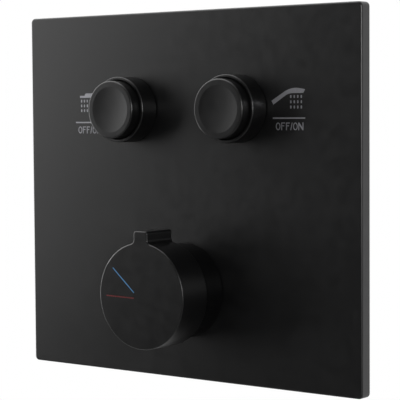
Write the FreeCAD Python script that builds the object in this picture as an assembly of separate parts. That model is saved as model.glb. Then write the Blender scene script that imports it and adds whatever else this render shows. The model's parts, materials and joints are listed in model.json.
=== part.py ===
import FreeCAD, Part
import math
import os

# Concealed thermostatic shower mixer: wall plate, temperature dial and two push buttons in front,
# and a brass valve body with its cartridges behind the wall.
# Millimetres. X runs to the right, Z up, and the front faces -Y. The wall plane is Y = 0, and the
# origin is the middle of the wall plate on that plane. Stations named FRONT and BACK are Y values.

V = FreeCAD.Vector
ALONG_Y = V(0, 1, 0)
FULL_TURN = 360.0
HEX_SIDES = 6
COIL_DOTS = 48        # points on a spring's turn at which its gap is measured
HEX_SLOPE = math.tan(math.radians(30))   # turned corners of hexagons

# Clearances
FIT = 0.05            # seated, screwed or pressed pieces, per side
RUN = 0.08            # shafts and pistons that turn or slide, per side
MOVE = 0.3            # between the ends of moving pieces and their stops
PAST = 1.0            # how far a cutting tool reaches past the face that it opens

# Wall plate and its gasket
PLATE_W = 180.0
PLATE_H = 160.0
PLATE_DEPTH = 6.2
PLATE_SHEET = 2.0
PLATE_RIM = 2.0
PLATE_CORNER = 2.0
PLATE_EDGE = 0.8
PAN_CORNER = 1.0
RIM_GAP = 0.3
GASKET_W = 5.0
HOLE_GAP = 0.7        # play of the necks in the plate's holes

# Places of the three controls on the plate
BUTTON_X = 29.4
BUTTON_Z = 37.5
DIAL_Z = -41.1

# Push buttons
CAP_R = 12.6
CAP_PROUD = 15.0
CAP_EDGE = 0.7
CAP_WALL = 1.6
CAP_SKIN = 1.4
CAP_BOSS_R = 5.4
DISH_R = 10.0
DISH_DEPTH = 0.5
PUSH_TRAVEL = 4.0
COLLAR_WALL = 1.45
COLLAR_LENGTH = 9.9
COLLAR_EDGE = 0.5
COLLAR_PLAY = 0.35    # between cap and collar
COLLAR_WEB = 2.8
WASHER_T = 0.6
WASHER_INSET = 0.8
WASHER_GAP = 1.7      # between a washer and the neck that it goes round

# Push rods and on/off cartridges
NECK_R = 8.5
NECK_INSET = 0.4
ROD_R = 4.2
ROD_TIP_R = 3.0
ROD_TAIL_R = 2.5
ROD_FLANGE_R = 8.4
ROD_FLANGE_T = 2.5
RATCHET_T = 2.3
RATCHET_R = 7.6
RATCHET_LUGS = 4
RATCHET_LUG_W = 3.0
RATCHET_TEETH = 8
RATCHET_TOOTH_W = 1.4
RATCHET_TOOTH_T = 0.7
PUSH_SPRING_L = 11.1
PUSH_SPRING_R = 6.4
PUSH_SPRING_WIRE = 1.0
PUSH_SPRING_TURNS = 5
CART_BORE_R = 10.0
CART_WALL = 2.4
CART_WEB_T = 2.0
CART_SEAT_T = 2.5
CART_SEAT_R = 6.5
CART_WINDOWS = 4
CART_WINDOW_W = 7.0
CART_WINDOW_MARGIN = 1.5
POPPET_R = 8.2
POPPET_T = 1.6
POPPET_SEAL_T = 1.4
POPPET_GAP = 0.7
GLAND_FLATS = 26.0
GLAND_FLANGE_T = 4.0
GLAND_THREAD_L = 3.0

# Rubber rings
ORING_T = 1.8
ROD_SEAL_T = 1.8
SEAL_SETBACK = 5.2    # from a gland nut's flange forwards to the seals of rods and spindle
GROOVE_SIDE = 0.15    # play of a ring along its groove

# Temperature dial
DIAL_R = 22.6
DIAL_PROUD = 30.5
DIAL_DEPTH = 16.9
DIAL_EDGE = 0.5
DIAL_BACK_EDGE = 0.8
DIAL_FACE_T = 3.0
DIAL_WALL = 1.6
DIAL_HUB_R = 11.0
TAB_W = 7.4
TAB_RISE = 4.9        # above the dial's round outline
TAB_FOOT_R = 1.9
TAB_TOP_R = 1.2
MARK_HUB_X = -1.0
MARK_HUB_Z = -1.0
MARK_W = 0.4
MARK_DEPTH = 0.4
COLD_MARK_ANGLE = 139.0
COLD_MARK_START = 3.7
COLD_MARK_END = 18.7
HOT_MARK_ANGLE = 179.0
HOT_MARK_START = 2.9
HOT_MARK_END = 17.8
INSERT_R = 7.0
INSERT_L = 11.5
GRUB_R = 2.0
GRUB_SOCKET_R = 1.0
GRUB_SOCKET_L = 1.8
SLEEVE_PLAY = 0.5     # between sleeve and dial
SLEEVE_WALL = 2.0
SLEEVE_LAP = 2.0      # how far the sleeve reaches into the dial
SLEEVE_EDGE = 0.4

# Dial stops: one lug on the dial and one on the ring leave the dial's range free between them
TURN_COLD = 180.0
TURN_HOT = 90.0
STOP_LUG_ANGLE = 44.0
DIAL_LUG_PLACE = 225.0
STOP_RING_R = 12.0
STOP_RING_T = 3.5
STOP_LUG_CLEAR = 0.8  # between the dial's lug and the ring
STOP_LUG_GAP = 1.0    # between the lugs and the sleeve

# Spindle and thermostat nut
SPINDLE_R = 4.5
SPINDLE_FLANGE_R = 9.0
SPINDLE_FLANGE_T = 2.2
SPINDLE_THREAD_R = 6.0
SPINDLE_THREAD_L = 6.5
SPINDLE_TIP_GAP = 0.9
SPLINES = 12
SPLINE_W = 0.9
SPLINE_DEPTH = 0.5
CLIP_R = 6.3
CLIP_T = 0.8
CLIP_GROOVE = 0.5
CLIP_OPENING = 60.0
T_NECK_R = 13.5
T_NECK_RISE = 0.9     # in front of the sleeve's web
T_SPIGOT_R = 8.4
T_SPIGOT_L = 2.6
T_FLATS = 36.0
T_FLANGE_T = 5.0
T_THREAD_L = 4.0

# Thermostat cartridge
LEAD = 4.0            # drive thread, travel per turn
T_BORE_R = 11.5
T_WALL = 5.4
DRIVE_NUT_R = 10.5
DRIVE_NUT_HEAD = 3.7
DRIVE_NUT_TAIL_R = 7.5
DRIVE_NUT_END = 1.7
KEY_W = 3.0
KEY_RISE = 2.5
KEY_PLAY = 0.15
WAX_PIN_R = 2.0
WAX_PIN_L = 2.0
WAX_FLANGE_R = 6.2
WAX_FLANGE_T = 1.5
WAX_R = 5.0
WAX_L = 9.5
WAX_TAIL_R = 3.2
WAX_TAIL_L = 10.0
WAX_TIP = 1.2
SHUTTLE_L = 7.0
SHUTTLE_WALL = 2.6
SHUTTLE_HOLES = 6
SHUTTLE_HOLE_R = 1.3
WINDOWS = 6
WINDOW_L = 5.0
WINDOW_W = 6.0
WINDOW_PITCH = 9.0    # from the hot windows to the cold ones
CHANNEL_DEPTH = 2.0
CHANNEL_MARGIN = 0.5
T_SPRING_L = 8.2
T_SPRING_R = 9.4
T_SPRING_WIRE = 1.2
T_SPRING_TURNS = 4
RETAINER_T = 2.0
RETAINER_BORE_R = 6.5
T_ORING_EDGE = 3.0    # from the housing's ends to its outer rings

# Valve body
BODY_SETBACK = 10.0   # from the wall plane to the barrels' fronts
BODY_WALL = 4.5
BODY_END_WALL = 4.0
CHAMBER_L = 10.0
SHOULDER_W = 3.5
CAST_ROUND = 1.8      # casting rounds where barrels, arms and ducts meet
BARREL_EDGE = 2.0
DUCT_R = 4.4
DUCT_WALL = 3.5
G_HALF_R = 9.315      # minor radius of a half-inch pipe thread
THREAD_L = 15.0
ARM_R = 13.0
HEX_FLATS = 29.0
HEX_L = 11.0
INLET_REACH = 60.0
OUTLET_REACH = 35.0
OUTLET_PORT_R = 4.5
INLET_PORT_R = 2.8
CHECK_BORE_R = 8.2
PAD_W = 44.0
PAD_H = 24.0
PAD_DEPTH = 12.0

# Strainers and check valves in the inlets, stations counted outwards from the body's middle
STRAINER_T = 2.2
STRAINER_RIM = 1.2
STRAINER_MESH_T = 0.8
MESH_RINGS = 2
MESH_HOLE_R = 0.8
MESH_STEP = 2.6
CHECK_L = 13.0
CHECK_WALL = 1.8
CHECK_SEAT_T = 1.5
CHECK_SEAT_R = 4.0
CHECK_TRAVEL = 2.5
CHECK_DISC_R = 5.2
CHECK_DISC_T = 1.5
CHECK_STEM_R = 1.2
CHECK_SPIDER_T = 1.5
CHECK_SPIDER_HUB_R = 2.4
CHECK_SPIDER_ARMS = 3
CHECK_SPIDER_ARM_W = 1.6
CHECK_SPRING_R = 3.2
CHECK_SPRING_WIRE = 0.6
CHECK_SPRING_TURNS = 5

# Bracket
BRACKET_W = 100.0
BRACKET_H = 32.0
BRACKET_T = 2.5
BRACKET_CORNER = 4.0
SLOT_END = 10.0       # from a slot's middle to the bracket's end
SLOT_SIDE = 7.0       # from a slot's middle to the bracket's long side
SLOT_R = 2.75
SLOT_L = 10.0
SCREW_X = 15.0
SCREW_R = 2.5
SCREW_L = 10.0
SCREW_HEAD_R = 4.25
SCREW_HEAD_T = 3.0
SCREW_SOCKET_R = 1.9
SCREW_SOCKET_L = 1.8

# Stations of the trim
PLATE_FRONT = -PLATE_DEPTH
PLATE_BACK = PLATE_FRONT + PLATE_SHEET
TRIM_BACK = PLATE_FRONT - WASHER_T
WEB_FRONT = TRIM_BACK - COLLAR_WEB
COLLAR_FRONT = PLATE_FRONT - COLLAR_LENGTH
COLLAR_BORE_R = CAP_R + COLLAR_PLAY
COLLAR_R = COLLAR_BORE_R + COLLAR_WALL
NECK_FRONT = WEB_FRONT + NECK_INSET
CAP_FRONT = PLATE_FRONT - CAP_PROUD
CAP_BACK = WEB_FRONT - MOVE - PUSH_TRAVEL
CAP_INSIDE = CAP_FRONT + DISH_DEPTH + CAP_SKIN
DIAL_FRONT = PLATE_FRONT - DIAL_PROUD
DIAL_BACK = DIAL_FRONT + DIAL_DEPTH
DIAL_INSIDE = DIAL_FRONT + DIAL_FACE_T
DIAL_CAVITY_R = DIAL_R - DIAL_WALL
SLEEVE_R = DIAL_CAVITY_R - SLEEVE_PLAY
STOP_LUG_IN = STOP_RING_R + STOP_LUG_CLEAR
STOP_LUG_OUT = SLEEVE_R - SLEEVE_WALL - STOP_LUG_GAP
HUB_BACK = DIAL_INSIDE + INSERT_L
SLEEVE_FRONT = DIAL_BACK - SLEEVE_LAP
T_NECK_FRONT = WEB_FRONT - T_NECK_RISE
STOP_FRONT = T_NECK_FRONT - STOP_RING_T
SPIGOT_FRONT = T_NECK_FRONT - T_SPIGOT_L
CLIP_BACK = STOP_FRONT - MOVE

# Stations of the on/off cartridges
BODY_FRONT = BODY_SETBACK
GLAND_FRONT = BODY_FRONT - GLAND_FLANGE_T
SEAL_Y = GLAND_FRONT - SEAL_SETBACK
CART_FRONT = BODY_FRONT + GLAND_THREAD_L
RATCHET_FRONT = CART_FRONT + MOVE
ROD_FLANGE_FRONT = RATCHET_FRONT + RATCHET_T + MOVE
ROD_FLANGE_BACK = ROD_FLANGE_FRONT + ROD_FLANGE_T
CART_WEB_FRONT = ROD_FLANGE_BACK + PUSH_SPRING_L + 2 * MOVE
CART_WEB_BACK = CART_WEB_FRONT + CART_WEB_T
POPPET_FRONT = CART_WEB_BACK + POPPET_GAP
POPPET_BACK = POPPET_FRONT + POPPET_T
SEAT_FRONT = POPPET_BACK + POPPET_SEAL_T + PUSH_TRAVEL + MOVE
CART_BACK = SEAT_FRONT + CART_SEAT_T
CART_R = CART_BORE_R + CART_WALL
CART_POCKET_R = CART_R + 2 * FIT
OUTLET_Y = (CART_WEB_BACK + SEAT_FRONT) / 2
CART_ORINGS = (CART_WEB_FRONT - ORING_T, CART_BACK - ORING_T)

# Stations of the thermostat cartridge
T_NUT_FRONT = BODY_FRONT - T_FLANGE_T
T_FRONT = BODY_FRONT + T_THREAD_L
SPINDLE_FLANGE_FRONT = T_FRONT + MOVE
SPINDLE_FLANGE_BACK = SPINDLE_FLANGE_FRONT + SPINDLE_FLANGE_T
COLD_TRAVEL = LEAD * TURN_COLD / FULL_TURN
HOT_TRAVEL = LEAD * TURN_HOT / FULL_TURN
DRIVE_NUT_FRONT = SPINDLE_FLANGE_BACK + MOVE + COLD_TRAVEL
DRIVE_NUT_STEP = DRIVE_NUT_FRONT + DRIVE_NUT_HEAD
SPINDLE_BACK = SPINDLE_FLANGE_BACK + SPINDLE_THREAD_L
DRIVE_NUT_BOTTOM = SPINDLE_BACK + COLD_TRAVEL + MOVE
DRIVE_NUT_BACK = DRIVE_NUT_BOTTOM + DRIVE_NUT_END
WAX_FLANGE_FRONT = DRIVE_NUT_BACK + WAX_PIN_L
SHUTTLE_WEB_FRONT = WAX_FLANGE_FRONT + WAX_FLANGE_T
SHUTTLE_BACK = SHUTTLE_WEB_FRONT + SHUTTLE_WALL
SHUTTLE_FRONT = SHUTTLE_BACK - SHUTTLE_L
INLET_Y = (SHUTTLE_FRONT + SHUTTLE_BACK) / 2
HOT_PORT_Y = INLET_Y - WINDOW_PITCH / 2
COLD_PORT_Y = INLET_Y + WINDOW_PITCH / 2
RETAINER_FRONT = SHUTTLE_BACK + T_SPRING_L + 2 * MOVE
T_BACK = RETAINER_FRONT + RETAINER_T
T_R = T_BORE_R + T_WALL
T_POCKET_R = T_R + 2 * FIT
T_ORINGS = (T_FRONT + T_ORING_EDGE, INLET_Y, T_BACK - T_ORING_EDGE)
WAX_BACK = SHUTTLE_WEB_FRONT + WAX_L

# Stations of the valve body
CHAMBER_BACK = max(CART_BACK, T_BACK) + CHAMBER_L
BODY_BACK = CHAMBER_BACK + BODY_END_WALL
DUCT_Y = CHAMBER_BACK - CHAMBER_L / 2
DUCT_OUTER_R = DUCT_R + DUCT_WALL
CHECK_OUTER = INLET_REACH - THREAD_L
CHECK_INNER = CHECK_OUTER - STRAINER_T - CHECK_L - 3 * FIT
CHECK_SPIDER = CHECK_INNER + FIT
CHECK_MOUTH = CHECK_SPIDER + CHECK_L
CHECK_SEAT = CHECK_MOUTH - CHECK_SEAT_T
CHECK_DISC_OUT = CHECK_SEAT - MOVE
CHECK_DISC_IN = CHECK_DISC_OUT - CHECK_DISC_T
BRACKET_BACK = BODY_BACK + BRACKET_T


def rod(radius, front, back):
    """Cylinder along Y between two stations."""
    return Part.makeCylinder(radius, back - front, V(0, front, 0), ALONG_Y)


def ring(inner, outer, front, back):
    """Tube along Y between two stations."""
    return rod(outer, front, back).cut(rod(inner, front - PAST, back + PAST))


def turned(profile):
    """Solid turned about the Y axis from a closed outline of (radius, station) points."""
    points = [V(radius, station, 0) for radius, station in profile]
    face = Part.Face(Part.makePolygon(points + points[:1]))
    return face.revolve(V(0, 0, 0), ALONG_Y, FULL_TURN)


def turn(shape, angle):
    """Copy of a shape turned counter-clockwise, as seen from the front, about the Y axis."""
    copy = shape.copy()
    copy.rotate(V(0, 0, 0), -ALONG_Y, angle)
    return copy


def around(shape, count):
    """Copies of a shape, evenly spread about the Y axis, as one tool."""
    return Part.makeCompound([turn(shape, FULL_TURN * step / count) for step in range(count)])


def block(width, depth, height, front):
    """Box centred on X and Z that starts at a station."""
    return Part.makeBox(width, depth, height, V(-width / 2, front, -height / 2))


def spoke(width, inner, outer, front, back):
    """Box that runs outwards along +X from the Y axis."""
    return Part.makeBox(outer - inner, back - front, width, V(inner, front, -width / 2))


def sector(inner, outer, front, back, middle, angle):
    """Piece of a ring, centred on an angle counter-clockwise from +X as seen from the front."""
    corners = [V(inner, front, 0), V(outer, front, 0), V(outer, back, 0), V(inner, back, 0)]
    face = Part.Face(Part.makePolygon(corners + corners[:1]))
    return turn(face.revolve(V(0, 0, 0), -ALONG_Y, angle), middle - angle / 2)


def hexagon(flats, front, back):
    """Hexagonal prism along Y, two of its flats level."""
    corner = flats / math.sqrt(3)
    angles = [math.radians(FULL_TURN * side / HEX_SIDES) for side in range(HEX_SIDES)]
    points = [V(corner * math.cos(a), front, corner * math.sin(a)) for a in angles]
    return Part.Face(Part.makePolygon(points + points[:1])).extrude(V(0, back - front, 0))


def hex_nut(flats, front, back):
    """Hexagonal prism along Y with its corners turned off at both ends."""
    corner = flats / math.sqrt(3)
    slope = (corner - flats / 2) * HEX_SLOPE
    blank = turned([
        (0, front),
        (flats / 2, front),
        (corner, front + slope),
        (corner, back - slope),
        (flats / 2, back),
        (0, back),
    ])
    return hexagon(flats, front, back).common(blank)


def oring(inner, thickness, station):
    """Rubber ring of round section, with its inner radius, about the Y axis."""
    return Part.makeTorus(inner + thickness / 2, thickness / 2, V(0, station, 0), ALONG_Y)


def groove(inner, outer, thickness, station):
    """Tool for the groove that a rubber ring lies in."""
    half = thickness / 2 + GROOVE_SIDE
    return ring(inner, outer, station - half, station + half)


def groove_floor(pocket_radius):
    """Floor radius of a groove whose ring seals against a pocket round it."""
    return pocket_radius - ORING_T - 2 * FIT


def rounded_block(width, height, corner, front, back):
    """Block along Y with rounded upright corners."""
    x = width / 2
    z = height / 2
    reach = corner * (1 - math.sqrt(0.5))
    edges = []
    for sx, sz in ((1, 1), (-1, 1), (-1, -1), (1, -1)):
        flat_end = V(sx * x, front, sz * (z - corner))
        level_end = V(sx * (x - corner), front, sz * z)
        middle = V(sx * (x - reach), front, sz * (z - reach))
        ends = (flat_end, level_end) if sx * sz > 0 else (level_end, flat_end)
        edges.append(Part.Arc(ends[0], middle, ends[1]).toShape())
    sides = []
    for first, second in zip(edges, edges[1:] + edges[:1]):
        sides.append(Part.makeLine(first.Vertexes[-1].Point, second.Vertexes[0].Point))
    outline = Part.Wire([edge for pair in zip(edges, sides) for edge in pair])
    return Part.Face(outline).extrude(V(0, back - front, 0))


def edges_at(shape, station):
    """Edges of a shape that lie in the plane of one station."""
    return [e for e in shape.Edges if all(abs(v.Point.y - station) < FIT for v in e.Vertexes)]


def arc_from(start, tangent, end):
    """Arc that leaves start along a tangent and passes to end."""
    chord = end - start
    normal = chord - tangent * chord.dot(tangent)
    normal.normalize()
    radius = chord.dot(chord) / (2 * normal.dot(chord))
    centre = start + normal * radius
    middle = (start + end) * 0.5 - centre
    middle.normalize()
    return Part.Arc(start, centre + middle * radius, end).toShape()


def coil(name, radius, wire, turns, front, back):
    """Compression spring about the Y axis, on biarcs of a quarter turn, between two stations."""
    quarters = 4 * turns
    start = front + wire / 2
    rise = back - front - wire
    slope = rise / (turns * 2 * math.pi * radius)
    points = []
    tangents = []
    for step in range(quarters + 1):
        angle = math.pi / 2 * step
        points.append(V(radius * math.cos(angle), start + rise * step / quarters, radius * math.sin(angle)))
        tangent = V(-math.sin(angle), slope, math.cos(angle))
        tangent.normalize()
        tangents.append(tangent)
    edges = []
    for p0, t0, p1, t1 in zip(points, tangents, points[1:], tangents[1:]):
        span = p1 - p0
        bend = 2 * (1 - t0.dot(t1))
        along = span.dot(t0 + t1)
        reach = (math.sqrt(along * along + bend * span.dot(span)) - along) / bend
        joint = (p0 + t0 * reach + p1 - t1 * reach) * 0.5
        edges.append(arc_from(p0, t0, joint))
        edges.append(arc_from(joint, (p1 - t1 * reach - joint).normalize(), p1))
    spine = Part.Wire(edges)
    dots = spine.discretize(turns * COIL_DOTS + 1)
    half_turn = COIL_DOTS // 2
    spans = [a.distanceToPoint(b) for i, a in enumerate(dots) for b in dots[i + half_turn:]]
    print(f"{name}: least gap to itself {min(spans) - wire:.2f} mm")
    section = Part.Wire(Part.makeCircle(wire / 2, points[0], tangents[0]))
    return spine.makePipeShell([section], True, False)


def save(name, shape, x=0.0, z=0.0):
    """Write a piece at its place on the plate."""
    placed = shape.translated(V(x, 0, z))
    placed.exportStep(f"parts/{name}.step")


# Trim

def cover_plate():
    outer = rounded_block(PLATE_W, PLATE_H, PLATE_CORNER, PLATE_FRONT, -RIM_GAP)
    outer = outer.makeFillet(PLATE_EDGE, edges_at(outer, PLATE_FRONT))
    pan_w = PLATE_W - 2 * PLATE_RIM
    pan_h = PLATE_H - 2 * PLATE_RIM
    plate = outer.cut(rounded_block(pan_w, pan_h, PAN_CORNER, PLATE_BACK, PAST))
    holes = [(NECK_R, -BUTTON_X, BUTTON_Z), (NECK_R, BUTTON_X, BUTTON_Z), (T_NECK_R, 0, DIAL_Z)]
    for neck, x, z in holes:
        plate = plate.cut(rod(neck + HOLE_GAP, PLATE_FRONT - PAST, PLATE_BACK + PAST).translated(V(x, 0, z)))
    return plate


def plate_gasket():
    width = PLATE_W - 2 * PLATE_RIM - 2 * FIT
    height = PLATE_H - 2 * PLATE_RIM - 2 * FIT
    outer = rounded_block(width, height, PAN_CORNER, PLATE_BACK, 0)
    inner = rounded_block(width - 2 * GASKET_W, height - 2 * GASKET_W, PAN_CORNER, PLATE_BACK - PAST, PAST)
    return outer.cut(inner)


def collar():
    solid = turned([
        (NECK_R + FIT, WEB_FRONT),
        (COLLAR_BORE_R, WEB_FRONT),
        (COLLAR_BORE_R, COLLAR_FRONT),
        (COLLAR_R, COLLAR_FRONT),
        (COLLAR_R, TRIM_BACK),
        (NECK_R + FIT, TRIM_BACK),
    ])
    return solid.makeFillet(COLLAR_EDGE, edges_at(solid, COLLAR_FRONT))


def trim_washer(trim_radius, neck_radius):
    return ring(neck_radius + WASHER_GAP, trim_radius - WASHER_INSET, TRIM_BACK, PLATE_FRONT)


def button_cap():
    cap = turned([
        (0, CAP_FRONT),
        (CAP_R, CAP_FRONT),
        (CAP_R, CAP_BACK),
        (CAP_R - CAP_WALL, CAP_BACK),
        (CAP_R - CAP_WALL, CAP_INSIDE),
        (CAP_BOSS_R, CAP_INSIDE),
        (CAP_BOSS_R, CAP_BACK),
        (ROD_TIP_R + FIT, CAP_BACK),
        (ROD_TIP_R + FIT, CAP_INSIDE),
        (0, CAP_INSIDE),
    ])
    cap = cap.makeFillet(CAP_EDGE, edges_at(cap, CAP_FRONT))
    ball_r = (DISH_R ** 2 + DISH_DEPTH ** 2) / (2 * DISH_DEPTH)
    return cap.cut(Part.makeSphere(ball_r, V(0, CAP_FRONT + DISH_DEPTH - ball_r, 0)))


def dial_outline(front):
    """Round outline with the grip tab at the top, its foot and corners rounded."""
    half = TAB_W / 2
    top = DIAL_R + TAB_RISE
    foot_x = half + TAB_FOOT_R
    foot_z = math.sqrt((DIAL_R + TAB_FOOT_R) ** 2 - foot_x ** 2)
    on_circle = DIAL_R / (DIAL_R + TAB_FOOT_R)
    lean = math.pi / 4 + math.atan2(foot_z, foot_x) / 2
    foot_mid_x = foot_x - TAB_FOOT_R * math.sin(lean)
    foot_mid_z = foot_z - TAB_FOOT_R * math.cos(lean)
    corner = TAB_TOP_R * (1 - math.sqrt(0.5))

    def at(x, z):
        return V(x, front, z)

    def mirrored(side):
        foot = Part.Arc(at(side * foot_x * on_circle, foot_z * on_circle),
                        at(side * foot_mid_x, foot_mid_z), at(side * half, foot_z))
        flank = Part.LineSegment(at(side * half, foot_z), at(side * half, top - TAB_TOP_R))
        shoulder = Part.Arc(at(side * half, top - TAB_TOP_R), at(side * (half - corner), top - corner),
                            at(side * (half - TAB_TOP_R), top))
        return [foot.toShape(), flank.toShape(), shoulder.toShape()]

    crown = Part.makeLine(at(half - TAB_TOP_R, top), at(TAB_TOP_R - half, top))
    rest = Part.Arc(at(-foot_x * on_circle, foot_z * on_circle), at(0, -DIAL_R),
                    at(foot_x * on_circle, foot_z * on_circle)).toShape()
    return Part.Wire(Part.sortEdges(mirrored(1) + [crown] + mirrored(-1) + [rest])[0])


def dial_mark(angle, start, end, play):
    """Bar with round ends that fills, or with some play cuts, a groove in the dial's face."""
    half = MARK_W / 2 + play
    depth = MARK_DEPTH + play
    bar = Part.makeBox(end - start, depth, 2 * half, V(start, DIAL_FRONT, -half))
    for tip in (start, end):
        bar = bar.fuse(rod(half, DIAL_FRONT, DIAL_FRONT + depth).translated(V(tip, 0, 0)))
    return turn(bar.removeSplitter(), angle).translated(V(MARK_HUB_X, 0, MARK_HUB_Z))


def cold_mark(play=0.0):
    return dial_mark(COLD_MARK_ANGLE, COLD_MARK_START, COLD_MARK_END, play)


def hot_mark(play=0.0):
    return dial_mark(HOT_MARK_ANGLE, HOT_MARK_START, HOT_MARK_END, play)


def dial():
    solid = Part.Face(dial_outline(DIAL_FRONT)).extrude(V(0, DIAL_DEPTH, 0))
    solid = solid.makeFillet(DIAL_EDGE, edges_at(solid, DIAL_FRONT))
    solid = solid.makeFillet(DIAL_BACK_EDGE, edges_at(solid, DIAL_BACK))
    solid = solid.cut(ring(DIAL_HUB_R, DIAL_CAVITY_R, DIAL_INSIDE, DIAL_BACK + PAST))
    solid = solid.cut(rod(DIAL_HUB_R + PAST, HUB_BACK, DIAL_BACK + PAST))
    solid = solid.cut(rod(INSERT_R + FIT, DIAL_INSIDE, HUB_BACK + PAST))
    solid = solid.fuse(sector(STOP_LUG_IN, STOP_LUG_OUT, DIAL_INSIDE, T_NECK_FRONT - MOVE,
                              DIAL_LUG_PLACE, STOP_LUG_ANGLE))
    solid = solid.cut(grub_bore())
    return solid.cut(cold_mark(FIT)).cut(hot_mark(FIT))


def grub_station():
    return (DIAL_INSIDE + HUB_BACK) / 2


def grub_bore():
    """Hole for the grub screw, from the hub out through the dial's wall at the bottom."""
    return Part.makeCylinder(GRUB_R + FIT, DIAL_R, V(0, grub_station(), 0), V(0, 0, -1))


def dial_grub_screw():
    start = V(0, grub_station(), -INSERT_R - 2 * FIT)
    end = V(0, grub_station(), -DIAL_HUB_R)
    screw = Part.makeCylinder(GRUB_R, DIAL_HUB_R - INSERT_R - 2 * FIT, start, V(0, 0, -1))
    return screw.cut(Part.makeCylinder(GRUB_SOCKET_R, GRUB_SOCKET_L, end, V(0, 0, 1)))


def dial_sleeve():
    inner = SLEEVE_R - SLEEVE_WALL
    return turned([
        (T_NECK_R + FIT, WEB_FRONT),
        (inner, WEB_FRONT),
        (inner, SLEEVE_FRONT),
        (SLEEVE_R - SLEEVE_EDGE, SLEEVE_FRONT),
        (SLEEVE_R, SLEEVE_FRONT + SLEEVE_EDGE),
        (SLEEVE_R, TRIM_BACK),
        (T_NECK_R + FIT, TRIM_BACK),
    ])


def stop_ring():
    """Ring on the thermostat nut; its lug meets the dial's lug at both ends of the dial's range."""
    free = FULL_TURN - TURN_COLD - TURN_HOT
    lug_place = DIAL_LUG_PLACE + TURN_HOT + free / 2
    body = ring(T_SPIGOT_R + FIT, STOP_RING_R, STOP_FRONT, T_NECK_FRONT)
    lug = sector(STOP_RING_R - PAST, STOP_LUG_OUT, STOP_FRONT, T_NECK_FRONT, lug_place, STOP_LUG_ANGLE)
    return body.fuse(lug).removeSplitter()


# On/off cartridges

def push_rod():
    return turned([
        (0, CAP_INSIDE + FIT),
        (ROD_TIP_R, CAP_INSIDE + FIT),
        (ROD_TIP_R, CAP_BACK),
        (ROD_R, CAP_BACK),
        (ROD_R, ROD_FLANGE_FRONT),
        (ROD_FLANGE_R, ROD_FLANGE_FRONT),
        (ROD_FLANGE_R, ROD_FLANGE_BACK),
        (ROD_TAIL_R, ROD_FLANGE_BACK),
        (ROD_TAIL_R, POPPET_BACK),
        (0, POPPET_BACK),
    ])


def ratchet():
    back = RATCHET_FRONT + RATCHET_T
    rotor = ring(ROD_R + RUN, RATCHET_R, RATCHET_FRONT, back)
    lug = spoke(RATCHET_LUG_W, RATCHET_R - PAST, CART_BORE_R - MOVE, RATCHET_FRONT, back)
    for step in range(RATCHET_LUGS):
        rotor = rotor.fuse(turn(lug, FULL_TURN * step / RATCHET_LUGS))
    tooth = spoke(RATCHET_TOOTH_W, 0, CART_BORE_R, RATCHET_FRONT - PAST, RATCHET_FRONT + RATCHET_TOOTH_T)
    half_step = FULL_TURN / RATCHET_TEETH / 2
    return rotor.cut(turn(around(tooth, RATCHET_TEETH), half_step)).removeSplitter()


def poppet():
    return ring(ROD_TAIL_R + FIT, POPPET_R, POPPET_FRONT, POPPET_BACK)


def poppet_seal():
    return rod(POPPET_R, POPPET_BACK, POPPET_BACK + POPPET_SEAL_T)


def cartridge_housing():
    housing = turned([
        (CART_BORE_R, CART_FRONT),
        (CART_R, CART_FRONT),
        (CART_R, CART_BACK),
        (CART_SEAT_R, CART_BACK),
        (CART_SEAT_R, SEAT_FRONT),
        (CART_BORE_R, SEAT_FRONT),
        (CART_BORE_R, CART_WEB_BACK),
        (ROD_TAIL_R + RUN, CART_WEB_BACK),
        (ROD_TAIL_R + RUN, CART_WEB_FRONT),
        (CART_BORE_R, CART_WEB_FRONT),
    ])
    window = spoke(CART_WINDOW_W, CART_SEAT_R, CART_R + PAST,
                   CART_WEB_BACK + CART_WINDOW_MARGIN, SEAT_FRONT - CART_WINDOW_MARGIN)
    housing = housing.cut(around(window, CART_WINDOWS))
    for station in CART_ORINGS:
        housing = housing.cut(groove(groove_floor(CART_POCKET_R), CART_R + PAST, ORING_T, station))
    return housing


def cartridge_orings():
    inner = groove_floor(CART_POCKET_R) + FIT
    return Part.makeCompound([oring(inner, ORING_T, station) for station in CART_ORINGS])


def gland_nut():
    nut = hex_nut(GLAND_FLATS, GLAND_FRONT, BODY_FRONT)
    nut = nut.fuse(rod(CART_R, BODY_FRONT, CART_FRONT)).fuse(rod(NECK_R, NECK_FRONT, GLAND_FRONT))
    nut = nut.cut(rod(ROD_R + RUN, NECK_FRONT - PAST, CART_FRONT + PAST))
    return nut.cut(groove(ROD_R, ROD_R + RUN + ROD_SEAL_T + FIT, ROD_SEAL_T, SEAL_Y))


def rod_seal():
    return oring(ROD_R + RUN, ROD_SEAL_T, SEAL_Y)


# Thermostat cartridge

def temperature_spindle():
    spindle = turned([
        (0, DIAL_INSIDE + SPINDLE_TIP_GAP),
        (SPINDLE_R, DIAL_INSIDE + SPINDLE_TIP_GAP),
        (SPINDLE_R, CLIP_BACK - CLIP_T - FIT),
        (SPINDLE_R - CLIP_GROOVE, CLIP_BACK - CLIP_T - FIT),
        (SPINDLE_R - CLIP_GROOVE, CLIP_BACK + FIT),
        (SPINDLE_R, CLIP_BACK + FIT),
        (SPINDLE_R, SPINDLE_FLANGE_FRONT),
        (SPINDLE_FLANGE_R, SPINDLE_FLANGE_FRONT),
        (SPINDLE_FLANGE_R, SPINDLE_FLANGE_BACK),
        (SPINDLE_THREAD_R, SPINDLE_FLANGE_BACK),
        (SPINDLE_THREAD_R, SPINDLE_BACK),
        (0, SPINDLE_BACK),
    ])
    flute = spoke(SPLINE_W, SPINDLE_R - SPLINE_DEPTH, SPINDLE_R + PAST, DIAL_INSIDE, HUB_BACK)
    return spindle.cut(around(flute, SPLINES))


def dial_insert():
    return ring(SPINDLE_R + FIT, INSERT_R, DIAL_INSIDE + FIT, HUB_BACK)


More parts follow.
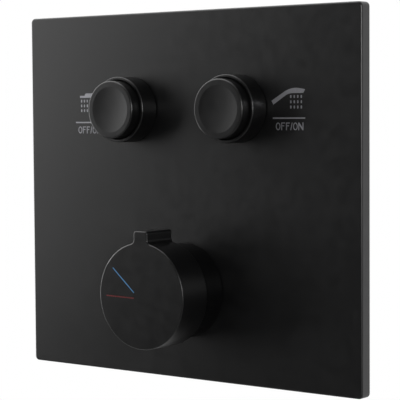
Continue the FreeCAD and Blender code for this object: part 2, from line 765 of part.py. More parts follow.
def spindle_clip():
    inner = SPINDLE_R - CLIP_GROOVE + FIT
    return sector(inner, CLIP_R, CLIP_BACK - CLIP_T, CLIP_BACK, -FULL_TURN / 4, FULL_TURN - CLIP_OPENING)


def thermostat_nut():
    nut = hex_nut(T_FLATS, T_NUT_FRONT, BODY_FRONT)
    nut = nut.fuse(rod(T_R, BODY_FRONT, T_FRONT)).fuse(rod(T_NECK_R, T_NECK_FRONT, T_NUT_FRONT))
    nut = nut.fuse(rod(T_SPIGOT_R, SPIGOT_FRONT, T_NECK_FRONT))
    nut = nut.cut(rod(SPINDLE_R + RUN, SPIGOT_FRONT - PAST, T_FRONT + PAST))
    return nut.cut(groove(SPINDLE_R, SPINDLE_R + RUN + ROD_SEAL_T + FIT, ROD_SEAL_T, SEAL_Y))


def spindle_seal():
    return oring(SPINDLE_R + RUN, ROD_SEAL_T, SEAL_Y)


def thermostat_housing():
    housing = ring(T_BORE_R, T_R, T_FRONT, T_BACK)
    for station in (HOT_PORT_Y, COLD_PORT_Y):
        half = WINDOW_L / 2
        channel = ring(T_R - CHANNEL_DEPTH, T_R + PAST, station - half - CHANNEL_MARGIN,
                       station + half + CHANNEL_MARGIN)
        window = spoke(WINDOW_W, T_BORE_R - PAST, T_R, station - half, station + half)
        housing = housing.cut(channel).cut(around(window, WINDOWS))
    for station in T_ORINGS:
        housing = housing.cut(groove(groove_floor(T_POCKET_R), T_R + PAST, ORING_T, station))
    key_reach = DRIVE_NUT_R + KEY_RISE + KEY_PLAY
    key_back = DRIVE_NUT_STEP + HOT_TRAVEL + MOVE
    key_way = block(KEY_W + 2 * KEY_PLAY, key_back - T_FRONT + PAST, 2 * key_reach, T_FRONT - PAST)
    return housing.cut(key_way)


def thermostat_orings():
    inner = groove_floor(T_POCKET_R) + FIT
    return Part.makeCompound([oring(inner, ORING_T, station) for station in T_ORINGS])


def drive_nut():
    bore = SPINDLE_THREAD_R + RUN
    nut = turned([
        (bore, DRIVE_NUT_FRONT),
        (DRIVE_NUT_R, DRIVE_NUT_FRONT),
        (DRIVE_NUT_R, DRIVE_NUT_STEP),
        (DRIVE_NUT_TAIL_R, DRIVE_NUT_STEP),
        (DRIVE_NUT_TAIL_R, DRIVE_NUT_BACK),
        (0, DRIVE_NUT_BACK),
        (0, DRIVE_NUT_BOTTOM),
        (bore, DRIVE_NUT_BOTTOM),
    ])
    key = spoke(KEY_W, DRIVE_NUT_R - PAST, DRIVE_NUT_R + KEY_RISE, DRIVE_NUT_FRONT, DRIVE_NUT_STEP)
    return nut.fuse(turn(key, FULL_TURN / 4)).fuse(turn(key, -FULL_TURN / 4)).removeSplitter()


def wax_element():
    tail_back = WAX_BACK + WAX_TAIL_L
    return turned([
        (0, DRIVE_NUT_BACK),
        (WAX_PIN_R, DRIVE_NUT_BACK),
        (WAX_PIN_R, WAX_FLANGE_FRONT),
        (WAX_FLANGE_R, WAX_FLANGE_FRONT),
        (WAX_FLANGE_R, SHUTTLE_WEB_FRONT),
        (WAX_R, SHUTTLE_WEB_FRONT),
        (WAX_R, WAX_BACK),
        (WAX_TAIL_R, WAX_BACK),
        (WAX_TAIL_R, tail_back - WAX_TIP),
        (WAX_TAIL_R - WAX_TIP, tail_back),
        (0, tail_back),
    ])


def shuttle():
    outer = T_BORE_R - RUN
    inner = outer - SHUTTLE_WALL
    piston = turned([
        (inner, SHUTTLE_FRONT),
        (outer, SHUTTLE_FRONT),
        (outer, SHUTTLE_BACK),
        (WAX_R + FIT, SHUTTLE_BACK),
        (WAX_R + FIT, SHUTTLE_WEB_FRONT),
        (inner, SHUTTLE_WEB_FRONT),
    ])
    hole_place = (WAX_R + inner) / 2
    hole = rod(SHUTTLE_HOLE_R, SHUTTLE_WEB_FRONT - PAST, SHUTTLE_BACK + PAST).translated(V(hole_place, 0, 0))
    return piston.cut(around(hole, SHUTTLE_HOLES))


def spring_retainer():
    return ring(RETAINER_BORE_R, T_BORE_R - FIT, RETAINER_FRONT, T_BACK)


# Valve body and what it carries

def along_inlet(shape, side):
    """Place a piece made along Y on an inlet's axis; side is -1 for hot and 1 for cold."""
    copy = shape.copy()
    copy.rotate(V(0, 0, 0), V(0, 0, 1), -side * FULL_TURN / 4)
    return copy.translated(V(0, INLET_Y, DIAL_Z))


def along_outlet(shape, side):
    """Place a piece made along Y on an outlet's axis, which runs upwards."""
    copy = shape.copy()
    copy.rotate(V(0, 0, 0), V(1, 0, 0), FULL_TURN / 4)
    return copy.translated(V(side * BUTTON_X, OUTLET_Y, BUTTON_Z))


def cross_duct(radius):
    return Part.makeCylinder(radius, 2 * BUTTON_X, V(-BUTTON_X, DUCT_Y, BUTTON_Z), V(1, 0, 0))


def riser(radius):
    return Part.makeCylinder(radius, BUTTON_Z - DIAL_Z, V(0, DUCT_Y, DIAL_Z), V(0, 0, 1))


def barrel(pocket_radius):
    """Outside of a cartridge's barrel, its back rim rounded."""
    solid = rod(pocket_radius + BODY_WALL, BODY_FRONT, BODY_BACK)
    return solid.makeFillet(BARREL_EDGE, edges_at(solid, BODY_BACK))


def body_shell():
    """Outside of the casting: three barrels, four arms with wrench flats, ducts and the bracket's pad."""
    shell = barrel(T_POCKET_R).translated(V(0, 0, DIAL_Z))
    for side in (-1, 1):
        shell = shell.fuse(barrel(CART_POCKET_R).translated(V(side * BUTTON_X, 0, BUTTON_Z)))
        shell = shell.fuse(along_inlet(rod(ARM_R, 0, INLET_REACH - HEX_L / 2), side))
        shell = shell.fuse(along_outlet(rod(ARM_R, 0, OUTLET_REACH - HEX_L / 2), side))
    shell = shell.fuse(cross_duct(DUCT_OUTER_R)).fuse(riser(DUCT_OUTER_R)).removeSplitter()
    junctions = [e for e in shell.Edges if e.Curve.TypeId == "Part::GeomBSplineCurve"]
    shell = shell.makeFillet(CAST_ROUND, junctions)
    for side in (-1, 1):
        shell = shell.fuse(along_inlet(hex_nut(HEX_FLATS, INLET_REACH - HEX_L, INLET_REACH), side))
        shell = shell.fuse(along_outlet(hex_nut(HEX_FLATS, OUTLET_REACH - HEX_L, OUTLET_REACH), side))
    return shell.fuse(block(PAD_W, PAD_DEPTH, PAD_H, BODY_BACK - PAD_DEPTH))


def pocket(radius, shoulder):
    """Stepped bore that a cartridge drops into, with the chamber behind its shoulder."""
    bore = rod(radius, BODY_FRONT - PAST, shoulder)
    return bore.fuse(rod(radius - SHOULDER_W, shoulder, CHAMBER_BACK))


def inlet_bore(port_y, side):
    bore = rod(G_HALF_R, CHECK_OUTER, INLET_REACH + PAST).fuse(rod(CHECK_BORE_R, CHECK_INNER, CHECK_OUTER))
    stem_end = CHECK_INNER - CHECK_TRAVEL - MOVE
    bore = bore.fuse(rod(CHECK_BORE_R - CHECK_WALL, stem_end, CHECK_INNER))
    port = Part.makeCylinder(INLET_PORT_R, CHECK_INNER, V(0, port_y, DIAL_Z), V(side, 0, 0))
    return along_inlet(bore, side).fuse(port)


def outlet_bore(side):
    thread_start = OUTLET_REACH - THREAD_L
    bore = rod(G_HALF_R, thread_start, OUTLET_REACH + PAST).fuse(rod(OUTLET_PORT_R, 0, thread_start))
    return along_outlet(bore, side)


def valve_body():
    body = body_shell()
    body = body.cut(pocket(T_POCKET_R, T_BACK).translated(V(0, 0, DIAL_Z)))
    for side, port_y in ((-1, HOT_PORT_Y), (1, COLD_PORT_Y)):
        body = body.cut(pocket(CART_POCKET_R, CART_BACK).translated(V(side * BUTTON_X, 0, BUTTON_Z)))
        body = body.cut(inlet_bore(port_y, side)).cut(outlet_bore(side))
        screw_hole = rod(SCREW_R + FIT, BODY_BACK - SCREW_L - MOVE, BODY_BACK + PAST)
        body = body.cut(screw_hole.translated(V(side * SCREW_X, 0, 0)))
    return body.cut(cross_duct(DUCT_R)).cut(riser(DUCT_R))


def strainer():
    inner = CHECK_OUTER - FIT - STRAINER_T
    outer = CHECK_BORE_R - FIT
    cup = ring(outer - STRAINER_RIM, outer, inner, CHECK_OUTER - FIT)
    mesh = rod(outer - STRAINER_RIM, inner, inner + STRAINER_MESH_T)
    hole = rod(MESH_HOLE_R, inner - PAST, inner + STRAINER_MESH_T + PAST)
    mesh = mesh.cut(hole)
    for circle in range(1, MESH_RINGS + 1):
        steps_round = int(math.tau * circle)
        mesh = mesh.cut(around(hole.translated(V(circle * MESH_STEP, 0, 0)), steps_round))
    return cup.fuse(mesh).removeSplitter()


def check_housing():
    outer = CHECK_BORE_R - FIT
    bore = outer - CHECK_WALL
    shell = turned([
        (CHECK_SEAT_R, CHECK_MOUTH),
        (outer, CHECK_MOUTH),
        (outer, CHECK_SPIDER),
        (bore, CHECK_SPIDER),
        (bore, CHECK_SEAT),
        (CHECK_SEAT_R, CHECK_SEAT),
    ])
    spider_out = CHECK_SPIDER + CHECK_SPIDER_T
    arm = spoke(CHECK_SPIDER_ARM_W, 0, bore + CHECK_WALL / 2, CHECK_SPIDER, spider_out)
    shell = shell.fuse(rod(CHECK_SPIDER_HUB_R, CHECK_SPIDER, spider_out))
    for step in range(CHECK_SPIDER_ARMS):
        shell = shell.fuse(turn(arm, FULL_TURN * step / CHECK_SPIDER_ARMS))
    return shell.cut(rod(CHECK_STEM_R + RUN, CHECK_SPIDER - PAST, spider_out + PAST)).removeSplitter()


def check_poppet():
    stem = rod(CHECK_STEM_R, CHECK_SPIDER, CHECK_DISC_IN)
    return stem.fuse(rod(CHECK_DISC_R, CHECK_DISC_IN, CHECK_DISC_OUT))


def check_spring(name):
    start = CHECK_SPIDER + CHECK_SPIDER_T + FIT
    return coil(name, CHECK_SPRING_R, CHECK_SPRING_WIRE, CHECK_SPRING_TURNS, start, CHECK_DISC_IN - FIT)


def wall_bracket():
    plate = rounded_block(BRACKET_W, BRACKET_H, BRACKET_CORNER, BODY_BACK, BRACKET_BACK)
    reach = SLOT_L / 2 - SLOT_R
    slot = block(2 * reach, BRACKET_T + 2 * PAST, 2 * SLOT_R, BODY_BACK - PAST)
    slot_end = rod(SLOT_R, BODY_BACK - PAST, BRACKET_BACK + PAST)
    screw_hole = rod(SCREW_R + FIT, BODY_BACK - PAST, BRACKET_BACK + PAST)
    for side in (-1, 1):
        slot = slot.fuse(slot_end.translated(V(side * reach, 0, 0)))
        plate = plate.cut(screw_hole.translated(V(side * SCREW_X, 0, 0)))
    slot = slot.removeSplitter()
    slot_x = BRACKET_W / 2 - SLOT_END
    slot_z = BRACKET_H / 2 - SLOT_SIDE
    for x in (-slot_x, slot_x):
        for z in (-slot_z, slot_z):
            plate = plate.cut(slot.translated(V(x, 0, z)))
    return plate


def bracket_screws():
    head_back = BRACKET_BACK + SCREW_HEAD_T
    screw = rod(SCREW_R, BODY_BACK - SCREW_L, BRACKET_BACK).fuse(rod(SCREW_HEAD_R, BRACKET_BACK, head_back))
    screw = screw.cut(hexagon(2 * SCREW_SOCKET_R, head_back - SCREW_SOCKET_L, head_back + PAST))
    return Part.makeCompound([screw.translated(V(x, 0, 0)) for x in (-SCREW_X, SCREW_X)])


os.makedirs("parts", exist_ok=True)

save("cover_plate", cover_plate())
save("plate_gasket", plate_gasket())
save("valve_body", valve_body())
save("wall_bracket", wall_bracket())
save("bracket_screws", bracket_screws())

DIAL_PIECES = {
    "dial": dial(),
    "cold_mark": cold_mark(),
    "hot_mark": hot_mark(),
    "dial_insert": dial_insert(),
    "dial_grub_screw": dial_grub_screw(),
    "dial_sleeve": dial_sleeve(),
    "dial_sleeve_washer": trim_washer(SLEEVE_R, T_NECK_R),
    "stop_ring": stop_ring(),
    "temperature_spindle": temperature_spindle(),
    "spindle_clip": spindle_clip(),
    "spindle_seal": spindle_seal(),
    "thermostat_nut": thermostat_nut(),
    "thermostat_housing": thermostat_housing(),
    "thermostat_orings": thermostat_orings(),
    "drive_nut": drive_nut(),
    "wax_element": wax_element(),
    "shuttle": shuttle(),
    "spring_retainer": spring_retainer(),
    "regulator_spring": coil("regulator_spring", T_SPRING_R, T_SPRING_WIRE, T_SPRING_TURNS,
                             SHUTTLE_BACK + MOVE, RETAINER_FRONT - MOVE),
}
for piece_name, piece in DIAL_PIECES.items():
    save(piece_name, piece, 0, DIAL_Z)

BUTTON_PIECES = {
    "button_cap": button_cap(),
    "collar": collar(),
    "collar_washer": trim_washer(COLLAR_R, NECK_R),
    "push_rod": push_rod(),
    "ratchet": ratchet(),
    "poppet": poppet(),
    "poppet_seal": poppet_seal(),
    "cartridge_housing": cartridge_housing(),
    "cartridge_orings": cartridge_orings(),
    "gland_nut": gland_nut(),
    "rod_seal": rod_seal(),
    "return_spring": coil("return_spring", PUSH_SPRING_R, PUSH_SPRING_WIRE, PUSH_SPRING_TURNS,
                          ROD_FLANGE_BACK + MOVE, CART_WEB_FRONT - MOVE),
}
for piece_name, piece in BUTTON_PIECES.items():
    save(f"left_{piece_name}", piece, -BUTTON_X, BUTTON_Z)
    save(f"right_{piece_name}", piece, BUTTON_X, BUTTON_Z)

INLET_PIECES = {
    "strainer": strainer(),
    "check_housing": check_housing(),
    "check_poppet": check_poppet(),
    "check_spring": check_spring("check_spring"),
}
for piece_name, piece in INLET_PIECES.items():
    save(f"hot_{piece_name}", along_inlet(piece, -1))
    save(f"cold_{piece_name}", along_inlet(piece, 1))
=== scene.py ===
import json
import math

import bmesh
import bpy
from mathutils import Matrix, Vector

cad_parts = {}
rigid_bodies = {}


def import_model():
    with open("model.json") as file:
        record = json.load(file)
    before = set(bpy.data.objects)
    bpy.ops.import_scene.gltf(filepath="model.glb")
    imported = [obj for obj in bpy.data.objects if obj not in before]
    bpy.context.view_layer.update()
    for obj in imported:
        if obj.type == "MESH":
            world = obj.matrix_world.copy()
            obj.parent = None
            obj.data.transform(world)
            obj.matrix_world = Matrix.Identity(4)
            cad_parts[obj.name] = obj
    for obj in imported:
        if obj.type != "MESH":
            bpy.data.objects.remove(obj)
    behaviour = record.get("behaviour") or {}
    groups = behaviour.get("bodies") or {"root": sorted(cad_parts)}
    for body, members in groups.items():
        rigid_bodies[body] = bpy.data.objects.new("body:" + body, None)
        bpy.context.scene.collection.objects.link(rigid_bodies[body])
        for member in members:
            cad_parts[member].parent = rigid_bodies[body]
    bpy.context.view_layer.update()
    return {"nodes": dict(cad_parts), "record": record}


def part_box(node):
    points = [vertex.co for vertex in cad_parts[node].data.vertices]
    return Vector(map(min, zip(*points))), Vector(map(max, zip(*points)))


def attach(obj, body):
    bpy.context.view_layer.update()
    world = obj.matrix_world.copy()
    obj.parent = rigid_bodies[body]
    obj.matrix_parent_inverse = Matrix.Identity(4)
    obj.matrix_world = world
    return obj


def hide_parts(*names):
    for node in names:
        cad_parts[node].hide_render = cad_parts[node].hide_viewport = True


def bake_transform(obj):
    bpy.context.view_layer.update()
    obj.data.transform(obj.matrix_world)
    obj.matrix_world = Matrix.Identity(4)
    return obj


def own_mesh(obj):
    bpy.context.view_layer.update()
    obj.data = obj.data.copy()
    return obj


# Looks of a concealed shower mixer: matte black wall trim with printed signs, and the brass valve,
# its cartridges and its bracket behind the wall. Metres; X to the right, Z up, the front faces -Y.

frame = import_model()
MM = 0.001

# Camera of the photograph, as azimuth to the right, elevation and roll in degrees
CAMERA_PLACE = Vector((422.37, -547.25, 37.18)) * MM
CAMERA_AZIMUTH = 37.416
CAMERA_ELEVATION = 3.264
CAMERA_ROLL = -0.391
CAMERA_LENS = 142.4
CAMERA_SENSOR = 36.0

# Light: levels are what a white matt surface would show
AMBIENT = 0.075
BACKGROUND = 1.0
DIM_Y = -0.05             # directions with less +Y than this meet the dim room
WHITE_Y = 0.25            # directions with more +Y than this meet the white background
LAMPS = {                 # azimuth and elevation in degrees, distance, width, height and power
    "key": (-82, 36, 0.6, 1.0, 1.5, 12.7),
    "fill": (50, 9, 1.0, 0.25, 0.2, 6.0),
    "back": (170, 65, 1.4, 1.0, 1.0, 5.0),
}
FLOOR_Z = -0.45
FLOOR_R = 0.75
FLOOR_SIDES = 96
FLOOR_GREY = 0.38
FLOOR_ROUGHNESS = 0.9
FLOOR_KEEP = 0.2          # share of the floor's own shading, with the shadow, that the camera sees
FLOOR_FADE_R = 0.25       # where that share starts to fade towards the rim
FLOOR_BEHIND_Y = 0.375    # where gloss starts to see the floor as background

# Signs on the plate, in millimetres from the plate's middle. Corners of the figures are (x, z, reach),
# where reach is how far each way the corner is rounded.
INK_PROUD = 0.03
INK_SUNK = 0.02
BEND_STEPS = 8
RULE_LENGTH = 16.1
RULE_THICK = 0.6
WORDS_INSET = 1.5
WORDS_DROP = 5.0          # from the rule down to the foot of the words
LETTER_H = 3.2
LETTER_STROKE = 0.42
LETTER_SIDES = 32
SLANT_RISE = 1.1          # upright width of the slanted stroke of N
LETTERS = [               # letter, place along the line and width
    ("O", 0.0, 2.3), ("F", 2.7, 1.9), ("F", 5.1, 1.9),
    ("/", 7.2, 1.2), ("O", 8.6, 2.3), ("N", 11.2, 2.5),
]
DROP_W = 0.7
DROP_H = 1.25
DROP_ROUND = 0.3
DROP_COLUMNS = 4
DROP_ROWS = 3
DROP_STEP_X = 1.73
DROP_STEP_Z = 2.16
HAND_RULE = (46.85, 33.5)
HAND_DROPS = (55.87, 42.35)
HAND_SHOWER = [
    (47.2, 39.15, 0), (54.65, 43.76, 2.2), (62.03, 43.78, 0),
    (62.93, 45.29, 0), (56.26, 46.52, 4.5), (46.18, 40.67, 0),
]
OVERHEAD_RULE = (-62.62, 31.76)
OVERHEAD_DROPS = (-59.04, 41.46)
OVERHEAD_HEAD = [(-59.95, 42.93, 0), (-52.9, 42.93, 0), (-52.9, 43.88, 0), (-59.95, 43.88, 0)]
OVERHEAD_ARM = [
    (-57.05, 43.88, 0), (-47.6, 43.88, 0), (-46.6, 43.25, 0),
    (-45.9, 44.25, 0), (-46.6, 44.93, 0.7), (-57.05, 44.93, 1.0),
]


# Building blocks of the materials

# Colour sockets of the mix node, which has others of the same names
MIX_FIRST = 6
MIX_SECOND = 7
MIX_RESULT = 2

# Middle of a piece in generated coordinates, which run from 0 to 1 across its box
BOX_MIDDLE = (0.5, 0.5, 0.5)


def new_material(name, values):
    """Material with one principled shader; values are the inputs that are the same all over."""
    material = bpy.data.materials.new(name)
    material.use_nodes = True
    shader = material.node_tree.nodes["Principled BSDF"]
    for socket, value in values.items():
        shader.inputs[socket].default_value = value
    return material, material.node_tree, shader


def add(tree, kind, values=None, **settings):
    """New node with its settings and the values of its unlinked inputs."""
    node = tree.nodes.new(kind)
    for setting, value in settings.items():
        setattr(node, setting, value)
    for socket, value in (values or {}).items():
        node.inputs[socket].default_value = value
    return node


def place(tree, output="Object", stretch=(1, 1, 1)):
    """Texture coordinates, stretched per axis."""
    source = add(tree, "ShaderNodeTexCoord")
    mapping = add(tree, "ShaderNodeMapping", {"Scale": stretch})
    tree.links.new(source.outputs[output], mapping.inputs["Vector"])
    return mapping.outputs["Vector"]


def radius(tree, vector, axes):
    """Distance from the origin, counted along the axes that are 1 and not along those that are 0."""
    flat = add(tree, "ShaderNodeVectorMath", {1: axes}, operation="MULTIPLY")
    tree.links.new(vector, flat.inputs[0])
    length = add(tree, "ShaderNodeVectorMath", operation="LENGTH")
    tree.links.new(flat.outputs["Vector"], length.inputs[0])
    return length.outputs["Value"]


def noise(tree, vector, size, detail=3.0):
    """Noise with grains of about the given size; 0 to 1."""
    node = add(tree, "ShaderNodeTexNoise", {"Scale": 1 / size, "Detail": detail})
    tree.links.new(vector, node.inputs["Vector"])
    return node.outputs["Fac"]


def spread(tree, value, low, high, start=0.3, end=0.7):
    """Map a value from start and end, by default the middle of a noise, to low and high."""
    limits = {"From Min": start, "From Max": end, "To Min": low, "To Max": high}
    node = add(tree, "ShaderNodeMapRange", limits)
    tree.links.new(value, node.inputs["Value"])
    return node.outputs["Result"]


def combine(tree, operation, first, second):
    """Math of two values."""
    node = add(tree, "ShaderNodeMath", operation=operation)
    tree.links.new(first, node.inputs[0])
    tree.links.new(second, node.inputs[1])
    return node.outputs["Value"]


def weighted(tree, parts):
    """Sum of values times weights."""
    total = None
    for value, weight in parts:
        node = add(tree, "ShaderNodeMath", {1: weight, 2: 0.0}, operation="MULTIPLY_ADD")
        tree.links.new(value, node.inputs[0])
        if total is not None:
            tree.links.new(total, node.inputs[2])
        total = node.outputs["Value"]
    return total


def colour(tree, shader, factor, dark, light):
    """Base colour that varies between two tones."""
    node = add(tree, "ShaderNodeMix", data_type="RGBA")
    tree.links.new(factor, node.inputs["Factor"])
    node.inputs[MIX_FIRST].default_value = (*dark, 1)
    node.inputs[MIX_SECOND].default_value = (*light, 1)
    tree.links.new(node.outputs[MIX_RESULT], shader.inputs["Base Color"])


def dull(tree, shader, value, low, high):
    """Roughness that varies between two levels."""
    tree.links.new(spread(tree, value, low, high), shader.inputs["Roughness"])


def bump(tree, shader, height, depth):
    """Relief of the given depth."""
    node = add(tree, "ShaderNodeBump", {"Strength": 1.0, "Distance": depth})
    tree.links.new(height, node.inputs["Height"])
    tree.links.new(node.outputs["Normal"], shader.inputs["Normal"])


# Materials

def powder_coat(name, roughness, specular, vary=0.03):
    """Matte black powder coat: fine grain over a faint orange peel."""
    material, tree, shader = new_material(name, {"Specular IOR Level": specular})
    spot = place(tree)
    cloud = noise(tree, spot, size=30 * MM)
    colour(tree, shader, cloud, dark=(0.0018, 0.0018, 0.0019), light=(0.0026, 0.0026, 0.0028))
    dull(tree, shader, noise(tree, spot, size=4 * MM), roughness - vary, roughness + vary)
    grain = noise(tree, spot, size=0.35 * MM, detail=2.0)
    peel = noise(tree, spot, size=2.2 * MM, detail=2.0)
    bump(tree, shader, weighted(tree, [(grain, 0.35), (peel, 1.0)]), depth=0.012 * MM)
    return material


def enamel(name, dark, light):
    """Glossy paint filled into a groove."""
    material, tree, shader = new_material(name, {"Specular IOR Level": 0.4})
    spot = place(tree)
    colour(tree, shader, noise(tree, spot, size=1.5 * MM), dark, light)
    dull(tree, shader, noise(tree, spot, size=0.8 * MM), low=0.30, high=0.45)
    bump(tree, shader, noise(tree, spot, size=0.6 * MM), depth=0.01 * MM)
    return material


def ink(name):
    """Screen printed silver grey, slightly uneven."""
    material, tree, shader = new_material(name, {"Metallic": 0.7})
    tone = noise(tree, place(tree), size=0.9 * MM)
    colour(tree, shader, tone, dark=(0.23, 0.23, 0.247), light=(0.313, 0.313, 0.333))
    dull(tree, shader, tone, low=0.32, high=0.42)
    return material


def rubber(name, dark, light):
    """Dull rubber with a fine moulded grain."""
    material, tree, shader = new_material(name, {"Specular IOR Level": 0.3})
    spot = place(tree)
    colour(tree, shader, noise(tree, spot, size=6 * MM), dark, light)
    dull(tree, shader, noise(tree, spot, size=2 * MM), low=0.62, high=0.8)
    bump(tree, shader, noise(tree, spot, size=0.5 * MM), depth=0.03 * MM)
    return material


def cast_brass(name):
    """Sand cast brass: coarse skin, brown in places."""
    material, tree, shader = new_material(name, {"Metallic": 1.0})
    spot = place(tree)
    tarnish = noise(tree, spot, size=18 * MM, detail=5.0)
    colour(tree, shader, tarnish, dark=(0.44, 0.27, 0.10), light=(0.76, 0.55, 0.25))
    dull(tree, shader, noise(tree, spot, size=5 * MM), low=0.36, high=0.52)
    skin = noise(tree, spot, size=0.7 * MM, detail=4.0)
    waves = noise(tree, spot, size=3 * MM)
    bump(tree, shader, weighted(tree, [(skin, 1.0), (waves, 0.8)]), depth=0.06 * MM)
    return material


def turned_metal(name, dark, light, roughness, vary=0.08, rings_across=90.0):
    """Metal off the lathe: fine rings about the piece's own axis."""
    material, tree, shader = new_material(name, {"Metallic": 1.0})
    offset = add(tree, "ShaderNodeVectorMath", {1: BOX_MIDDLE}, operation="SUBTRACT")
    tree.links.new(place(tree, "Generated"), offset.inputs[0])
    rings = add(tree, "ShaderNodeTexNoise", {"Scale": rings_across, "Detail": 2.0}, noise_dimensions="1D")
    tree.links.new(radius(tree, offset.outputs["Vector"], axes=(1, 0, 1)), rings.inputs["W"])
    colour(tree, shader, noise(tree, place(tree), size=8 * MM), dark, light)
    dull(tree, shader, rings.outputs["Fac"], roughness - vary, roughness + vary)
    bump(tree, shader, rings.outputs["Fac"], depth=0.02 * MM)
    return material


def drawn_steel(name, dark, light, roughness, stretch=(1, 1, 1), vary=0.07):
    """Steel with a fine grain, which is drawn out along an axis whose stretch is under 1."""
    material, tree, shader = new_material(name, {"Metallic": 1.0})
    lines = noise(tree, place(tree, stretch=stretch), size=0.6 * MM)
    colour(tree, shader, noise(tree, place(tree), size=9 * MM), dark, light)
    dull(tree, shader, lines, roughness - vary, roughness + vary)
    bump(tree, shader, lines, depth=0.01 * MM)
    return material


def moulding(name, dark, light, roughness, vary=0.05):
    """Moulded plastic with a fine speckle."""
    material, tree, shader = new_material(name, {"Specular IOR Level": 0.45})
    spot = place(tree)
    colour(tree, shader, noise(tree, spot, size=1.1 * MM, detail=4.0), dark, light)
    dull(tree, shader, noise(tree, spot, size=1.6 * MM), roughness - vary, roughness + vary)
    bump(tree, shader, noise(tree, spot, size=0.6 * MM), depth=0.015 * MM)
    return material


INK = ink("printed_ink")
NODE_MATERIALS = {
    "cover_plate": powder_coat("plate_powder_coat", 0.37, 0.45),
    "dial_sleeve": powder_coat("sleeve_powder_coat", 0.38, 0.12),
}
SLOT_MATERIALS = {
    "matte_black": powder_coat("trim_powder_coat", 0.33, 0.45),
    "blue_enamel": enamel("blue_enamel", (0.045, 0.165, 0.33), (0.075, 0.21, 0.41)),
    "red_enamel": enamel("red_enamel", (0.10, 0.011, 0.012), (0.15, 0.020, 0.021)),
    "gasket_rubber": rubber("gasket_rubber", (0.035, 0.035, 0.036), (0.06, 0.06, 0.061)),
    "seal_rubber": rubber("seal_rubber", (0.012, 0.012, 0.012), (0.022, 0.022, 0.022)),
    "cast_brass": cast_brass("cast_brass"),
    "turned_brass": turned_metal("turned_brass", (0.66, 0.45, 0.18), (0.83, 0.61, 0.29), 0.28),
    "bracket_steel": drawn_steel(
        "plated_sheet", (0.50, 0.51, 0.52), (0.68, 0.68, 0.66), 0.34, stretch=(0.08, 1, 1)),
    "screw_steel": turned_metal("screw_steel", (0.48, 0.48, 0.49), (0.62, 0.62, 0.63), 0.25),
    "spring_steel": drawn_steel("spring_wire", (0.50, 0.50, 0.51), (0.66, 0.66, 0.67), 0.24),
    "copper": turned_metal("drawn_copper", (0.62, 0.27, 0.15), (0.82, 0.42, 0.26), 0.30),
    "grey_plastic": moulding("glass_filled_plastic", (0.035, 0.036, 0.038), (0.075, 0.077, 0.08), 0.5),
    "white_plastic": moulding("acetal", (0.66, 0.66, 0.63), (0.76, 0.76, 0.74), 0.42),
    "strainer_steel": drawn_steel("strainer_mesh", (0.52, 0.52, 0.53), (0.70, 0.70, 0.71), 0.3),
}


def dress_nodes():
    """Give every carried-over piece the material of its slot; plate and sleeve have duller coats."""
    for part in frame["record"]["subparts"]:
        materials = frame["nodes"][part["node"]].data.materials
        materials.clear()
        materials.append(NODE_MATERIALS.get(part["node"], SLOT_MATERIALS[part["material_slot"]]))


# Springs

def spring_coil(node, joint, axis, held):
    """Copy of a spring that stands in for its node, left in place or carried by the joint's parent."""
    # The end is the bound of the box farther from the held place
    low, high = (corner[axis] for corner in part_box(node))
    start = Vector()
    end = Vector()
    start[axis] = held
    end[axis] = high if held - low < high - held else low
    coil = bpy.data.objects.new(f"{node}_coil", frame["nodes"][node].data.copy())
    bpy.context.scene.collection.objects.link(coil)
    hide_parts(node)
    # A coil whose joint range starts below zero stays in place; any other rides on the joint's parent
    back, forth = joint["range_m"]
    if back < 0:
        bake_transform(coil)
    else:
        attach(coil, joint["parent"])
        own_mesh(coil)


def springs():
    """Put a stand-in coil in place of every spring that a joint lists as deforming."""
    for joint in frame["record"]["behaviour"]["joints"]:
        for spring in joint.get("deforming_nodes", []):
            letter = spring["mode"][-1]
            spring_coil(spring["node"], joint, "xyz".index(letter), spring[f"fixed_end_{letter}_m"])


# Printed signs

def prism(mesh, outline, hole=()):
    """Add a flat closed figure, given as (x, z) in millimetres, printed on the plate's face.

    A hole has as many points as the outline.
    """
    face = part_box("cover_plate")[0].y
    levels = (face - INK_PROUD * MM, face + INK_SUNK * MM)

    def walls(points):
        near, far = [[mesh.verts.new((x * MM, y, z * MM)) for x, z in points] for y in levels]
        for index in range(len(points)):
            mesh.faces.new((near[index - 1], far[index - 1], far[index], near[index]))
        return near, far

    for rim, edge in zip(walls(outline), walls(hole) if hole else (None, None)):
        if edge is None:
            mesh.faces.new(rim)
        else:
            for index in range(len(rim)):
                mesh.faces.new((rim[index - 1], rim[index], edge[index], edge[index - 1]))


def rounded(corners):
    """Closed outline of (x, z, reach) corners, each rounded as far as its reach."""
    points = []
    for index, (x, z, reach) in enumerate(corners):
        corner = Vector((x, z))
        before = Vector(corners[index - 1][:2]) - corner
        after = Vector(corners[(index + 1) % len(corners)][:2]) - corner
        start = corner + before.normalized() * reach
        end = corner + after.normalized() * reach
        steps = BEND_STEPS if reach else 0
        for step in range(steps + 1):
            share = step / max(steps, 1)
            points.append(start.lerp(corner, share).lerp(corner.lerp(end, share), share))
    return points


def bar(x, z, width, height, reach=0):
    """Upright or level bar about its middle, its corners rounded by reach."""
    half_w = width / 2
    half_h = height / 2
    signs = ((-1, -1), (1, -1), (1, 1), (-1, 1))
    return rounded([(x + u * half_w, z + v * half_h, reach) for u, v in signs])


def oval(width, inset):
    """Narrow round letter O, or its inside."""
    middle_x = width / 2
    middle_z = LETTER_H / 2
    turns = [math.tau * step / LETTER_SIDES for step in range(LETTER_SIDES)]
    return [
        (middle_x + (middle_x - inset) * math.cos(turn), middle_z + (middle_z - inset) * math.sin(turn))
        for turn in turns
    ]


